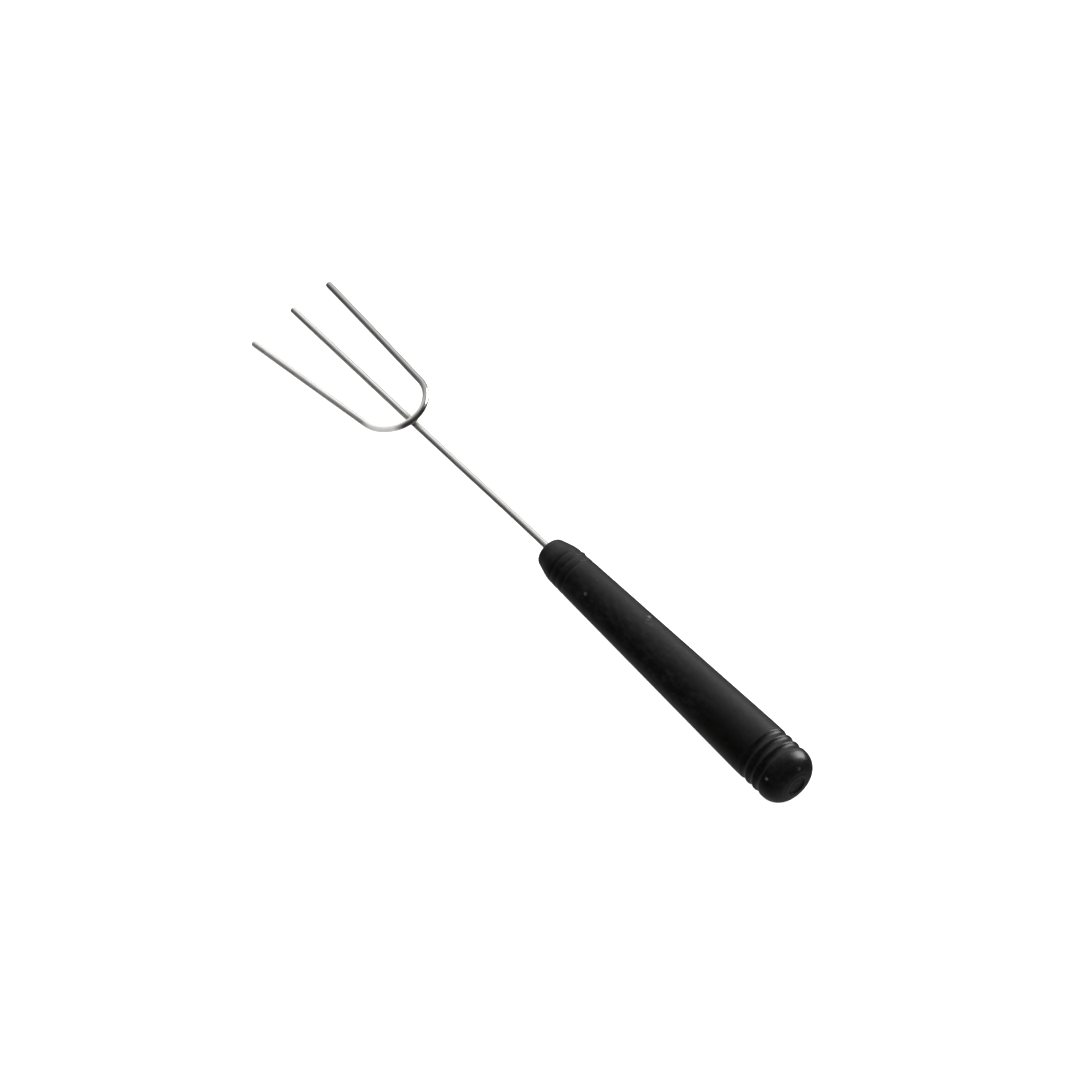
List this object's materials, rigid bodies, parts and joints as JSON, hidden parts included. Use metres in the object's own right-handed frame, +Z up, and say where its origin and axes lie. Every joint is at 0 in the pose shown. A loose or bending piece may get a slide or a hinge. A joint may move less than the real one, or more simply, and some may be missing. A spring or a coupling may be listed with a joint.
{
  "type": "dipping fork",
  "caption": "Confectioner's dipping fork: long slim prongs of blunt round steel wire on a thin wire shank, in a tapered black handle with turned grooves.",
  "frame": {"origin": "on the surface the fork lies on, under the middle of its overall box", "axes": "+X along the tool from the prong tips to the butt of the handle, +Z up from the surface that the handle's side and the two outer prong tips touch, +Y towards the prong that runs closer to parallel with X"},
  "size_m": [0.2048, 0.0278, 0.0152],
  "materials": {
    "handle_plastic": "satin black",
    "steel_wire": "bright drawn wire",
    "solder": "dull, slightly dark"
  },
  "bodies": {
    "root": {"handle": "handle_plastic", "centre_rod": "steel_wire", "outer_prongs": "steel_wire", "braze_joint": "solder"}
  },
  "joints": []
}
